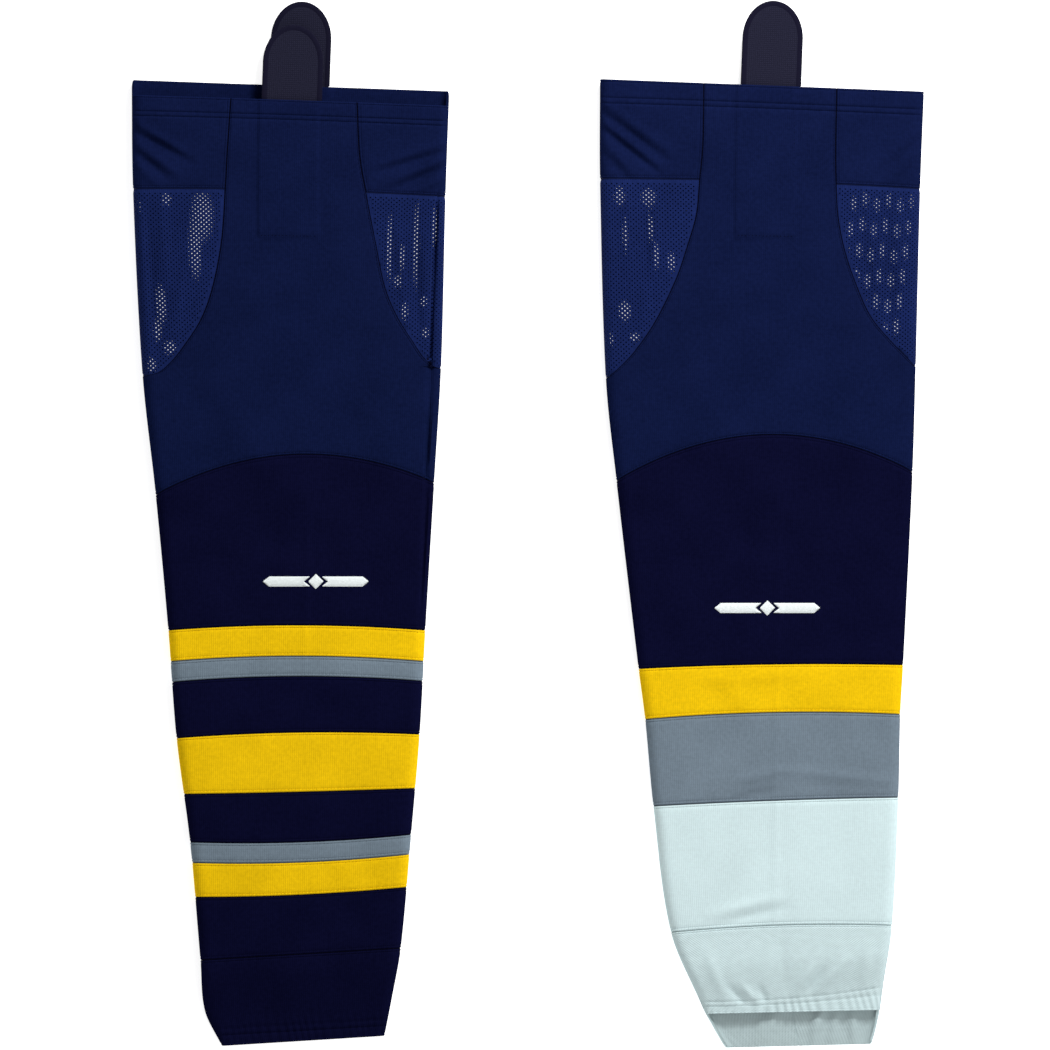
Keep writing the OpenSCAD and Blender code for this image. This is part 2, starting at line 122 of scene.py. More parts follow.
def folded(folds, s, x):
    """Rise of straight soft folds, each from s0, x0 to s1, x1, with its width and height."""
    rise = np.zeros_like(s)
    for s0, x0, s1, x1, width, height in folds:
        ds, dx = s1 - s0, x1 - x0
        t = np.clip(((s - s0) * ds + (x - x0) * dx) / (ds * ds + dx * dx), 0, 1)
        away = np.hypot(s - s0 - t * ds, x - x0 - t * dx)
        rise = rise + height * np.sin(math.pi * (0.12 + 0.76 * t)) * np.exp(-((away / width) ** 2))
    return rise


class Sock:
    """One sock's shape. s runs down from the thigh edge, l round from the middle of the front."""

    def __init__(self, name, rows, sides, **sizes):
        self.name = name
        self.body = name + "_sock"
        self.rows = np.array(rows, float)
        self.sides = {
            "left": spline([(r[0], r[1]) for r in sides]),
            "right": spline([(r[0], r[2]) for r in sides]),
        }
        self.__dict__.update(sizes)

    def flat_half(self, s):
        return smooth(self.rows, s, 1) / 2 - HALF

    def half_round(self, s):
        return 2 * self.flat_half(s) + FOLD

    def around(self, s, l):
        """0 at the front's middle to 1 at the back's, with the side's sign."""
        whole = 2 * self.half_round(s)
        l = (l + whole / 2) % whole - whole / 2
        a, d = self.flat_half(s), np.abs(l)
        on_fold = FLAT + (d - a) / FOLD * (1 - 2 * FLAT)
        on_back = 1 - FLAT + (d - a - FOLD) / a * FLAT
        return np.sign(l) * np.where(d <= a, FLAT * d / a, np.where(d <= a + FOLD, on_fold, on_back))

    def side_l(self, s, side):
        """Where the front's side seam runs; below the insert's tip it stays on the fold."""
        a = self.flat_half(s)
        curve = self.sides[side]
        u = np.clip(np.interp(s, curve[:, 0], curve[:, 1]), 0, 1)
        x = u * (a + HALF)
        l = np.where(x <= a, x, a + HALF * np.arcsin(np.clip((x - a) / HALF, 0, 1)))
        return np.where(s >= self.tip, a + FOLD / 2, l)

    def knee_rise(self, l):
        """How far the knee seam arches towards the thigh, which it does on the front only."""
        s = np.full_like(l, self.knee)
        a = self.flat_half(s)
        d = np.abs(l)
        x = np.where(d <= a, d, a + HALF * np.sin(np.clip((d - a) / HALF, 0, math.pi / 2)))
        u = x / (a + HALF)
        return np.where(d < a + FOLD / 2, self.arch * (1 - u * u), 0)

    def relief(self, s, l, x, front):
        """Rise in Z of the cloth's folds; front is 1 on the front and 0 on the back."""
        rise = 0.35 * np.sin(s / 29 + x / 41 + self.phase)
        rise = rise + 0.25 * np.sin(x / 17 - s / 61 + 2 * self.phase)
        rise = rise + folded(self.folds, s, x)
        tail = ease((TAB_WIDTH / 2 + 1 - np.abs(x - self.tail_x)) / 2.5) * ease((TAIL + 8.5 - s) / 2.5)
        rise = rise + TAIL_RISE * tail
        if self.overlap:
            s0, x0, s1, x1, drop = self.overlap
            edge = x0 + (x1 - x0) * (s - s0) / (s1 - s0)
            step = ease((x - edge) / 1.8) + 0.6 * np.exp(-(((x - edge - 1.5) / 1.3) ** 2))
            upward = 1 - 0.75 * np.clip((x - edge - 1) / 9, 0, 1)
            rise = rise - drop * step * upward * ease((s - s0) / 40) * ease((s1 - s) / 120)
        gather = self.gather * np.exp(-(((s - self.hem_mid) / self.gather_reach) ** 2))
        wave = np.sin(2 * math.pi * l / 6.1 + 2.1 * np.sin(l / 7.7) + 0.9 * np.sin(l / 17 + s / 14))
        wave = wave * (0.78 + 0.22 * np.sin(l / 12.3 + 2))
        stitched = HEM_LINES + self.casing_lines()
        pulled_in = sum(0.8 * np.exp(-(((s - line) / 0.8) ** 2)) for line in stitched)
        behind = gather * (0.6 + 0.12 * wave) + 0.35 * pulled_in + folded(self.back_folds, s, x)
        return front * (rise + gather * wave - pulled_in) + (1 - front) * behind

    def casing_lines(self):
        """The two rows of stitches above the ankle's elastic."""
        return tuple(self.end - above for above in self.casing)

    def above(self, x, y):
        """Z in mm of the front's outer face at a point of the plan, which is given in mm."""
        s = TOP - y
        for _ in range(4):
            w = smooth(self.rows, s, 1)
            u = (x - smooth(self.rows, s, 2)) / (w / 2)
            s = TOP - y - smooth(self.rows, s, 3) * u / 2 + smooth(self.rows, s, 4) * (1 - u * u)
        return 2 * HALF + self.relief(s, u * w / 2, u * w / 2, 1.0)

    def place(self, s, l, depth):
        """Points in metres on the cloth, at a depth below its outer face."""
        e = self.around(s, l)
        d = np.abs(e)
        front = ease((1 - FLAT - d) / (1 - 2 * FLAT))
        shorter = ease((0.53 - d) / 0.06)
        r = s + shorter * (
            self.drop * np.maximum(0, 1 - s / self.yoke)
            - self.lift * np.maximum(0, (s - self.cuff) / (self.end - self.cuff))
        )
        w = smooth(self.rows, r, 1)
        a = w / 2 - HALF
        turn = math.pi * (d - FLAT) / (1 - 2 * FLAT)
        radius = HALF - depth
        on_front, on_back = d <= FLAT, d >= 1 - FLAT
        beyond_front = np.where(on_back, a * (1 - d) / FLAT, a + radius * np.sin(turn))
        x = np.where(on_front, a * d / FLAT, beyond_front) * np.sign(e)
        z = np.where(on_front, 2 * HALF - depth, np.where(on_back, depth, HALF + radius * np.cos(turn)))
        z = z * (1 - ANKLE_FLATTER * ease((s - self.end + 62) / 55))
        u = x / (w / 2)
        z = z + self.relief(s, l, x, front)
        y = TOP - r - smooth(self.rows, r, 3) * u / 2 + smooth(self.rows, r, 4) * (1 - u * u)
        return np.stack([smooth(self.rows, r, 2) + x, y, z], axis=-1) * MM


STRIPED = Sock(
    "striped",
    rows=[
        (0, 252, -188, 9, 0), (85, 248, -189, 6, 2), (226, 237, -187, -6, 0), (320, 221, -184.5, -9.5, 0),
        (432, 204, -183, 0, 4), (516, 193, -182, -3, 3), (597, 175.5, -180, -6, -3),
        (689, 159, -180, -9.5, 0), (730, 148, -182, -8, 0), (758, 129, -178, -8, 0),
    ],
    sides=[
        (0, 0.375, 0.42), (50, 0.395, 0.445), (85, 0.41, 0.49), (125, 0.44, 0.555), (160, 0.505, 0.615),
        (185, 0.59, 0.7), (205, 0.71, 0.805), (217, 0.8, 0.87), (225, 0.89, 0.94), (228, 1, 1),
    ],
    yoke=85, tip=228, knee=320, arch=27.5, cuff=689, end=758, drop=12, lift=0,
    phase=0.4, tail_x=-1, gather=0.4, hem_mid=751, gather_reach=12, casing=(13, 8),
    seams=(320, 432, 457, 473, 516, 560, 597, 613, 640, 689),
    bands=(
        ("shin_panel", "shin_knit"), ("gold_stripe_upper", "gold_knit"),
        ("grey_stripe_upper", "grey_knit"), ("navy_band_upper", "shin_knit"),
        ("gold_stripe_middle", "gold_knit"), ("navy_band_lower", "shin_knit"),
        ("grey_stripe_lower", "grey_knit"), ("gold_stripe_lower", "gold_knit"),
        ("ankle_panel", "shin_knit"),
    ),
    cuff_slot="shin_knit",
    badge=(-168, -45),
    tabs={"front": (1, 60), "back": (7, 67)},
    overlap=(70, 117, 470, 94, 4.5),
    back_folds=(),
    folds=(
        (22, -126, 58, -76, 4, 1.6), (31, -127, 60, -78, 4, -2.4), (41, -126, 72, -88, 4, 1.7),
        (50, -124, 76, -96, 4, -1.8), (62, -122, 82, -104, 4, 1.2),
        (34, 126, 60, 66, 4, 1.5), (41, 127, 66, 70, 3.6, -1.8), (48, 127, 76, 76, 4, 1.7),
        (55, 127, 82, 82, 4, -2.4), (66, 125, 84, 96, 4, 1.4),
        (92, -102, 160, -98, 5, 1.2), (100, -113, 215, -106, 4, -1.3), (150, -84, 200, -96, 5, 1.1),
        (96, 84, 190, 92, 4, 1.1), (96, 98, 200, 102, 4, -1.2), (120, 108, 210, 106, 4, 0.9),
        (330, 10, 470, 6, 3, 0.6), (240, -60, 310, -20, 12, 0.8), (360, -70, 400, 40, 14, 0.8),
        (480, -50, 560, -10, 9, 0.6), (600, 20, 660, 60, 9, 0.7), (700, -30, 740, -44, 6, 0.9),
    ),
)

BLOCK = Sock(
    "block",
    rows=[
        (0, 257, 186, 10, 0), (78, 254, 184.5, 8, 2), (227, 246, 185, -9.5, 0), (310, 235, 188, -7, 0),
        (461, 210, 193, -3, 2), (501, 202.5, 194.5, -4, 3.5), (568, 194.5, 197, -7, 1),
        (669, 175.5, 201.5, -5.5, 3), (721, 145, 209.5, -12, -3), (735, 138, 210.5, -3, 0),
        (762, 117, 215, -3, 0),
    ],
    sides=[
        (0, 0.36, 0.46), (50, 0.36, 0.465), (80, 0.38, 0.475), (105, 0.4, 0.49), (130, 0.46, 0.53),
        (155, 0.535, 0.595), (185, 0.665, 0.7), (207, 0.8, 0.84), (220, 0.91, 0.94), (228, 1, 1),
    ],
    yoke=78, tip=228, knee=310, arch=33, cuff=669, end=762, drop=0, lift=27,
    phase=2.1, tail_x=4, gather=0.65, hem_mid=757, gather_reach=13, casing=(19.5, 12.7),
    seams=(310, 461, 501, 568, 669),
    bands=(
        ("shin_panel", "shin_knit"), ("gold_stripe", "gold_knit"), ("grey_band", "grey_knit"),
        ("white_band", "white_knit"),
    ),
    cuff_slot="white_cuff_knit",
    badge=(190, -66),
    tabs={"front": (7, 67.5), "back": (7, 63)},
    overlap=None,
    back_folds=(
        (728, 26, 762, 10, 4, 3.0), (728, 36, 762, 26, 4, 1.6), (730, -8, 762, -34, 7, 2.4),
        (732, 48, 762, 44, 4, 2.0),
    ),
    folds=(
        (16, -128, 58, -70, 4, 1.5), (25, -128, 62, -76, 3.4, -2.0), (31, -129, 66, -82, 4, 1.8),
        (37, -128, 74, -80, 3, -2.6), (47, -127, 76, -98, 4, 1.3), (58, -126, 78, -104, 4, -1.4),
        (28, 128, 62, 96, 5, 0.9), (36, 128, 68, 92, 4, -1.0), (46, 128, 74, 100, 5, 0.8),
        (84, -106, 150, -104, 4, 1.1), (84, -92, 170, -88, 4, -1.2), (100, -80, 200, -96, 4, 1.0),
        (84, 84, 190, 96, 4, 1.1), (90, 100, 210, 104, 4, -1.2), (100, 112, 200, 110, 4, 0.9),
        (300, 12, 745, -8, 3, 0.6), (230, -50, 300, -10, 12, 0.8), (350, -60, 400, 30, 14, 0.7),
        (503, -22, 542, -47, 8, -1.0), (552, -27, 545, 4, 3.5, 1.4), (545, 2, 556, 98, 4, 1.2),
        (566, -36, 560, 4, 3, -1.5), (462, -50, 496, -20, 9, 0.9), (474, -60, 470, 30, 5, 0.8),
        (590, -20, 660, -30, 14, 0.9), (659, -56, 647, 0, 4.5, 1.6), (666, -50, 655, 6, 3.5, -1.1),
        (738, 3, 711, 20, 3.6, 1.7), (738, 13, 714, 29, 3.2, -1.4), (736, 23, 706, 48, 4, 1.7),
        (726, -48, 745, -38, 3.5, -1.6), (724, -38, 744, -28, 3.5, 1.5), (728, -24, 746, -20, 3, -1.2),
        (676, -2, 730, -7, 6, -1.2), (690, -62, 744, -52, 5, 1.2), (690, 66, 742, 58, 5, 1.0),
    ),
)


# ---- materials

class Look:
    """Builds one material: a Principled shader and the nodes that feed it."""

    def __init__(self, name, roughness=0.85, specular=0.0):
        self.material = bpy.data.materials.new(name)
        self.material.use_nodes = True
        self.nodes, self.links = self.material.node_tree.nodes, self.material.node_tree.links
        self.shader = self.nodes["Principled BSDF"]
        self.shader.inputs["Roughness"].default_value = roughness
        self.shader.inputs["Specular IOR Level"].default_value = specular
        cloth = self.nodes.new("ShaderNodeUVMap")
        cloth.uv_map = "cloth"
        split = self.nodes.new("ShaderNodeSeparateXYZ")
        self.links.new(cloth.outputs[0], split.inputs[0])
        self.uv, self.across, self.down = cloth.outputs[0], split.outputs["X"], split.outputs["Y"]

    def put(self, value, socket):
        if isinstance(value, (int, float)):
            socket.default_value = value
        else:
            self.links.new(value, socket)

    def math(self, operation, a, b=0.0, c=0.0):
        node = self.nodes.new("ShaderNodeMath")
        node.operation = operation
        for value, socket in zip((a, b, c), node.inputs):
            self.put(value, socket)
        return node.outputs[0]

    def wave(self, coordinate, pitch_mm):
        """0 to 1 and back once in each pitch of a cloth coordinate, which is in metres."""
        angle = self.math("MULTIPLY", coordinate, 2 * math.pi / (pitch_mm * MM))
        return self.math("MULTIPLY_ADD", self.math("SINE", angle), 0.5, 0.5)

    def noise(self, size_mm, detail=2.0):
        node = self.nodes.new("ShaderNodeTexNoise")
        node.inputs["Scale"].default_value = 1 / (size_mm * MM)
        node.inputs["Detail"].default_value = detail
        self.links.new(self.uv, node.inputs["Vector"])
        return node.outputs["Fac"]

    def colour(self, low, high, factor):
        node = self.nodes.new("ShaderNodeMix")
        node.data_type = "RGBA"
        node.inputs["A"].default_value = (*low, 1)
        node.inputs["B"].default_value = (*high, 1)
        self.links.new(factor, node.inputs["Factor"])
        self.links.new(node.outputs["Result"], self.shader.inputs["Base Color"])

    def bump(self, height, depth_mm, strength=0.6):
        node = self.nodes.new("ShaderNodeBump")
        node.inputs["Strength"].default_value = strength
        node.inputs["Distance"].default_value = depth_mm * MM
        self.links.new(height, node.inputs["Height"])
        self.links.new(node.outputs[0], self.shader.inputs["Normal"])


def linear(*srgb):
    """A colour given as 0 to 255 on screen, in the shader's own units."""
    return tuple(((c / 255 + 0.055) / 1.055) ** 2.4 if c > 10 else c / 255 / 12.92 for c in srgb)


def shade(colour, factor):
    return tuple(c * factor for c in colour)


def knit(name, colour, wale=1.5, course=1.3, contrast=0.6, specular=0.0):
    """Warp knit: columns of stitches, mottled and slightly worn, with painted shade in the grooves
    between stitches.
    """
    look = Look(name, 0.8, specular)
    column = look.wave(look.across, wale)
    shifted = look.math("MULTIPLY_ADD", column, 0.5 * course * MM, look.down)
    row = look.wave(shifted, course)
    stitch = look.math("MULTIPLY_ADD", row, 0.4, look.math("MULTIPLY", column, 0.6))
    mottle = look.noise(3, 4)
    patch = look.noise(40, 3)
    # The mottle and patches are random tone; the stitch term darkens the grooves, which is painted shade
    mixed = look.math("MULTIPLY_ADD", mottle, 0.55, look.math("MULTIPLY", stitch, 0.2))
    mixed = look.math("MULTIPLY_ADD", patch, 0.45, mixed)
    look.colour(shade(colour, 1 - 1.2 * contrast), shade(colour, 1 + 0.8 * contrast), mixed)
    look.bump(look.math("MULTIPLY_ADD", mottle, 0.4, stitch), 0.35, 0.5)
    return look.material


def birdseye(name, colour):
    """Fine birdseye knit: rows of small dimples, every second row shifted by half a step."""
    look = Look(name, 0.85)
    dots = look.math("MULTIPLY", look.wave(look.across, 2.4), look.wave(look.down, 2.4))
    between = look.math("MULTIPLY", look.math("SUBTRACT", 1.0, look.wave(look.across, 2.4)),
                        look.math("SUBTRACT", 1.0, look.wave(look.down, 2.4)))
    dimple = look.math("ADD", dots, between)
    mixed = look.math("MULTIPLY_ADD", look.noise(6, 3), 0.6, look.math("MULTIPLY", dimple, 0.4))
    look.colour(shade(colour, 0.8), shade(colour, 1.1), mixed)
    look.bump(dimple, 0.4, 0.6)
    return look.material


def hook_and_loop(name, colour):
    """Woven tape with a short, matted loop pile in faint rows both ways."""
    look = Look(name, 0.95)
    weave = look.math("MULTIPLY", look.wave(look.across, 1.6), look.wave(look.down, 1.6))
    pile = look.noise(1.2, 4)
    mixed = look.math("MULTIPLY_ADD", pile, 0.6, look.math("MULTIPLY", weave, 0.35))
    look.colour(shade(colour, 0.4), shade(colour, 1.5), mixed)
    look.bump(mixed, 0.6, 0.8)
    return look.material


def threads(name, colour, pitch=0.5, roughness=0.6):
    """Twisted thread: fine slanted plies."""
    look = Look(name, roughness, 0.03)
    twist = look.wave(look.math("ADD", look.across, look.down), pitch)
    mixed = look.math("MULTIPLY_ADD", look.noise(2, 2), 0.5, look.math("MULTIPLY", twist, 0.5))
    look.colour(shade(colour, 0.75), shade(colour, 1.2), mixed)
    look.bump(twist, 0.08, 0.6)
    return look.material


NAVY = linear(14, 22, 56)
DEEP_NAVY = linear(11, 12, 40)
MESH_NAVY = linear(19, 31, 76)
GOLD = linear(234, 190, 14)
GREY = linear(112, 126, 138)
WHITE = linear(208, 228, 230)
CHARCOAL = linear(34, 34, 50)
BLACK = linear(19, 18, 35)

LOOKS = {
    "upper_knit": knit("upper_knit", NAVY),
    "shin_knit": knit("shin_knit", DEEP_NAVY),
    "mesh_knit": knit("mesh_knit", MESH_NAVY, wale=1.6, course=1.3, specular=0.02),
    "gold_knit": knit("gold_knit", GOLD, contrast=0.35),
    "grey_knit": knit("grey_knit", GREY, contrast=0.35),
    "white_knit": knit("white_knit", WHITE, contrast=0.16),
    "white_cuff_knit": birdseye("white_cuff_knit", WHITE),
    # A darker copy of the white cuff knit: painted shade on the facing that lies under the front's hem at
    # the ankle
    "white_cuff_painted_shade": birdseye("white_cuff_painted_shade", shade(WHITE, 0.74)),
    "hook_and_loop_tape": hook_and_loop("hook_and_loop_tape", CHARCOAL),
    "tape_binding": threads("tape_binding", BLACK, 0.9, 0.8),
    "navy_thread": threads("navy_thread", shade(NAVY, 0.4)),
    "dark_thread": threads("dark_thread", shade(DEEP_NAVY, 0.6)),
    "gold_thread": threads("gold_thread", shade(GOLD, 0.65)),
    "insert_thread": threads("insert_thread", shade(NAVY, 0.8)),
    "grey_thread": threads("grey_thread", shade(GREY, 0.6)),
    "white_thread": threads("white_thread", shade(WHITE, 0.75)),
    "elastic": threads("elastic", WHITE, 1.4, 0.7),
    "embroidery": threads("embroidery", linear(238, 244, 244), 0.6, 0.5),
}


# The record's material slot of each look whose name isn't a slot itself
SLOT_OF = {look: "seam_thread" for look in LOOKS if look.endswith("_thread")}
# The white cuff knit with painted shade keeps the white cuff knit's slot
SLOT_OF["white_cuff_painted_shade"] = "white_cuff_knit"


# ---- meshes

def linked(name, data):
    """A new object of some mesh, light or camera, in the scene."""
    added = bpy.data.objects.new(name, data)
    scene.collection.objects.link(added)
    return added


def new_object(name, points, faces, uv, look):
    """A mesh object from points in metres, with cloth coordinates in metres as its UVs."""
    mesh = bpy.data.meshes.new(name)
    mesh.from_pydata(points.tolist(), [], faces)
    layer = mesh.uv_layers.new(name="cloth")
    corner = np.empty(len(mesh.loops), dtype=np.int32)
    mesh.loops.foreach_get("vertex_index", corner)
    layer.data.foreach_set("uv", uv[corner].astype(np.float32).ravel())
    mesh.materials.append(LOOKS[look])
    work = bmesh.new()
    work.from_mesh(mesh)
    bmesh.ops.recalc_face_normals(work, faces=work.faces)
    work.to_mesh(mesh)
    work.free()
    mesh.shade_smooth()
    mesh.set_sharp_from_angle(angle=math.radians(50))
    piece = linked(name, mesh)
    SLOT_OF.get(look, look)
    return piece


def rim_edges(faces):
    """The edges that belong to one face only, in that face's direction."""
    edges = np.stack([faces, np.roll(faces, -1, axis=1)], axis=-1).reshape(-1, 2)
    key = np.sort(edges, axis=1)
    order = np.lexsort((key[:, 1], key[:, 0]))
    key, edges = key[order], edges[order]
    same = (key[1:] == key[:-1]).all(axis=1)
    alone = np.ones(len(key), bool)
    alone[1:][same] = False
    alone[:-1][same] = False
    return edges[alone]


def both_sides(faces, count):
    """Faces of a closed sheet: count points of the upper layer first, then the lower's."""
    rim = rim_edges(faces)
    walls = np.stack([rim[:, 1], rim[:, 0], rim[:, 0] + count, rim[:, 1] + count], axis=1)
    return faces.tolist() + (faces[:, ::-1] + count).tolist() + walls.tolist()


def tube_faces(tubes, rings, sides):
    """Faces of closed tubes whose points run ring by ring, one tube after another."""
    base = (np.arange(tubes) * rings * sides)[:, None]
    faces = []
    for r in range(rings - 1):
        low, high = r * sides, (r + 1) * sides
        for k in range(sides):
            n = (k + 1) % sides
            faces += (base + np.array([low + k, low + n, high + n, high + k])).tolist()
    faces += (base + np.arange(sides)[::-1]).tolist()
    faces += (base + (rings - 1) * sides + np.arange(sides)).tolist()
    return faces


def flat_area(s, l, faces):
    """Area in square metres of the faces laid out flat in cloth coordinates."""
    x, y = l[faces], s[faces]
    turned = x * np.roll(y, -1, axis=1) - y * np.roll(x, -1, axis=1)
    return float(np.abs(turned.sum(axis=1)).sum() / 2) * MM * MM


def cloth(part, sock, s, l, faces, look, dip, thick=PLY, depth=0.0):
    """A closed sheet of cloth on a sock, from flat arrays of s and l and their faces."""
    outer = sock.place(s, l, depth + dip)
    inner = sock.place(s, l, depth + thick - 0.3 * dip)
    uv = np.tile(np.stack([l, s], axis=1) * MM, (2, 1))
    name = f"{sock.name}_{part}"
    piece = new_object("cloth_" + name, np.vstack([outer, inner]), both_sides(faces, len(s)), uv, look)
    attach(piece, sock.body)
    width, length = np.ptp(l) * MM, np.ptp(s) * MM
    flat_area(s, l, faces)
    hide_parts(name)


def grid_faces(rows, columns):
    i, j = np.meshgrid(np.arange(rows - 1), np.arange(columns - 1), indexing="ij")
    a = (i * columns + j).ravel()
    return np.stack([a, a + columns, a + columns + 1, a + 1], axis=1)


def spread(length, near0=True, near1=True, step=GRID, lines=()):
    """Places along a length, closer together near seams at its ends and near the lines given."""
    low = list(NEAR_SEAM) if near0 else [0.0]
    high = [length - d for d in NEAR_SEAM][::-1] if near1 else [length]
    middle = np.linspace(low[-1], high[0], max(2, int((high[0] - low[-1]) / step) + 1))
    places = np.array(low[:-1] + list(middle) + high[1:])
    for line in lines:
        places = places[np.abs(places - line) > 1.6]
        places = np.sort(np.concatenate([places, line + np.array(NEAR_LINE)]))
    return places


def rolled(distance):
    """How far the outer face dips near the cloth's edge: its roll, and the row of stitches."""
    stitches = STITCH_DIP * np.exp(-(((distance - STITCH_LINE) / 0.4) ** 2))
    ridge = 0.3 * np.exp(-(((distance - 0.95) / 0.4) ** 2))
    return EDGE_ROUND * np.clip(1 - distance / 0.9, 0, 1) ** 2 + stitches - ridge


def rolled_grid(down, across, half):
    """The dip of a grid from its places down the sock and its shares across, -1 to 1."""
    along = rolled(np.minimum(down, down[-1] - down))[:, None]
    return np.maximum(along, rolled((1 - np.abs(across)) * half)[None, :])


def gridded(part, sock, s, l, look, dip, **options):
    cloth(part, sock, s.ravel(), l.ravel(), grid_faces(*s.shape), look, dip.ravel(), **options)


def ring_grid(sock, s_list, top_seam=True, bottom_seam=True, arch=False, step=GRID):
    """Rows round the sock, open at the seam down the middle of the back."""
    length = s_list[1] - s_list[0]
    inset0, inset1 = top_seam * SEAM_GAP / 2, bottom_seam * SEAM_GAP / 2
    down = spread(length - inset0 - inset1, step=step)
    reach = sock.half_round(np.array([s_list[0]]))[0] - SEAM_GAP / 2
    across = spread(2 * reach, step=step) - reach
    share = across / reach
    s = np.repeat((s_list[0] + inset0 + down)[:, None], len(across), axis=1)
    l = share[None, :] * (sock.half_round(s) - SEAM_GAP / 2)
    if arch:
        left = 1 - down / down[-1]
        s = s - left[:, None] * sock.knee_rise(l)
    return s, l, rolled_grid(down, share, reach)


def band(sock, i):
    part, look = sock.bands[i]
    s, l, dip = ring_grid(sock, sock.seams[i:i + 2], arch=i == 0)
    gridded(part, sock, s, l, look, dip)


def cuff(sock):
    s, l, dip = ring_grid(sock, (sock.cuff, sock.end), bottom_seam=False, step=FINE)
    gridded("ankle_cuff", sock, s, l, sock.cuff_slot, dip)


def panel(sock, back):
    """The front or back thigh panel, between the side seams and down to the knee seam."""
    down = np.concatenate([
        spread(sock.tip - 12, near1=False, lines=HEM_LINES),
        sock.tip - np.array([10, 8, 6, 4.5, 3, 2, 1, 0]),
        sock.tip + spread(sock.knee - SEAM_GAP / 2 - sock.tip, near0=False)[1:],
    ])
    across = spread(2 * PANEL_HALF) / PANEL_HALF - 1
    s = np.repeat(down[:, None], len(across), axis=1)
    seam_l = np.where(across[None, :] > 0, sock.side_l(s, "right"), sock.side_l(s, "left"))
    edge = seam_l - SEAM_GAP / 2
    l = across[None, :] * edge
    if back:
        l = sock.half_round(s) - l
    else:
        a = sock.flat_half(s) + HALF
        u = np.minimum(np.abs(l) / a, 1)
        edge_u = np.minimum(edge / a, 1)
        bend = np.clip((s - 100) / (sock.knee - 100), 0, 1) ** 2
        s = s - sock.arch * bend * np.maximum(0, edge_u**2 - u**2)
    part = "back_panel" if back else "front_panel"
    gridded(part, sock, s, l, "upper_knit", rolled_grid(down, across, PANEL_HALF))


def insert_span(sock, s, side, gap):
    """How far the insert reaches each way from the fold's outermost line."""
    return sock.flat_half(s) + FOLD / 2 - sock.side_l(s, side) - gap


def from_fold(sock, s, d, side):
    """l of a point at a distance d round from the fold's outermost line, towards the back."""
    return (sock.flat_half(s) + FOLD / 2 + d) * (1 if side == "right" else -1)


def yoke(sock, side):
    down = spread(sock.yoke - SEAM_GAP / 2, step=FINE, lines=HEM_LINES)
    across = spread(2 * YOKE_HALF, step=FINE) / YOKE_HALF - 1
    s = np.repeat(down[:, None], len(across), axis=1)
    d = across[None, :] * insert_span(sock, s, side, SEAM_GAP / 2)
    l = from_fold(sock, s, d, side)
    gridded(side + "_yoke", sock, s, l, "upper_knit", rolled_grid(down, across, YOKE_HALF))


HOLE_ACROSS, HOLE_DOWN, HOLE_RADIUS = 4.2, 3.4, 0.58
HOLE_MARGIN = 2.2  # between the insert's edge and its first holes
HOLE_APART = 2.2 * HOLE_RADIUS  # least distance between the middles of two holes
HOLE_CORNERS = 8
RECENT = 90  # how many of the last holes a new one is measured against
RIM_STEP = 2.5
# Where the holes of an insert's two layers line up: distance below the thigh edge, distance
# in from the fold, and how far the place reaches each way.
LINED_UP = {
    ("striped", "left"): (
        (105, 59, 20, 9), (132, 52, 22, 5), (93, 31, 5, 4), (173, 23, 15, 4), (193, 19, 8, 3),
        (206, 28, 5, 5), (98, 8, 6, 3), (219, 12, 6, 4),
    ),
    ("striped", "right"): (
        (128, 48, 32, 3), (125, 27, 40, 3), (110, 13, 20, 2.5), (156, 41, 6, 4), (180, 35, 9, 3),
        (172, 20, 6, 3), (198, 18, 5, 3), (136, 38, 14, 2.5),
    ),
    ("block", "left"): (
        (91, 20, 9, 5), (92, 43, 9, 7), (115, 44, 12, 3), (136, 48, 12, 3), (141, 60, 9, 4),
        (177, 22, 9, 6), (198, 9, 7, 4), (197, 29, 4, 5), (120, 24, 16, 2.5),
    ),
    ("block", "right"): tuple(
        (89 + 21 * i + 4 * (j % 2), 11 + 9.2 * j + 2 * i, 6.5, 2.7) for i in range(6) for j in range(6)
    ),
}


def offset_of_back(sock, side, s, d):
    """How far a back hole sits from the front hole that it would line up with."""
    apart = np.ones_like(s)
    for s0, d0, reach_s, reach_d in LINED_UP[(sock.name, side)]:
        apart = apart * (1 - np.exp(-(((s - s0) / reach_s) ** 2 + ((d - d0) / reach_d) ** 2) ** 1.5))
    return apart * HOLE_ACROSS / 4, apart * HOLE_DOWN / 4


def hole_places(sock, side, edge_s, reach):
    """Where the holes of both layers go: distance round from the fold, and distance down."""
    top, bottom = edge_s[0], sock.tip
    centres = []
    for i in range(1, int((bottom - top) / (HOLE_DOWN / 2))):
        s = top + i * HOLE_DOWN / 2
        shift = HOLE_ACROSS / 2 if i % 2 else 0
        room = np.interp(s, edge_s, reach) - HOLE_MARGIN
        for j in range(int((room - shift) // HOLE_ACROSS) + 1):
            d = shift + (j + 0.25) * HOLE_ACROSS
            if d > room:
                continue
            moved_d, moved_s = offset_of_back(sock, side, np.array(s), np.array(d))
            for place in ((-d, s), (d - float(moved_d), s + float(moved_s))):
                clear = all(math.dist(place, other) > HOLE_APART for other in centres[-RECENT:])
                if clear and top + 2 < place[1] < bottom - 3:
                    centres.append(place)
    return centres


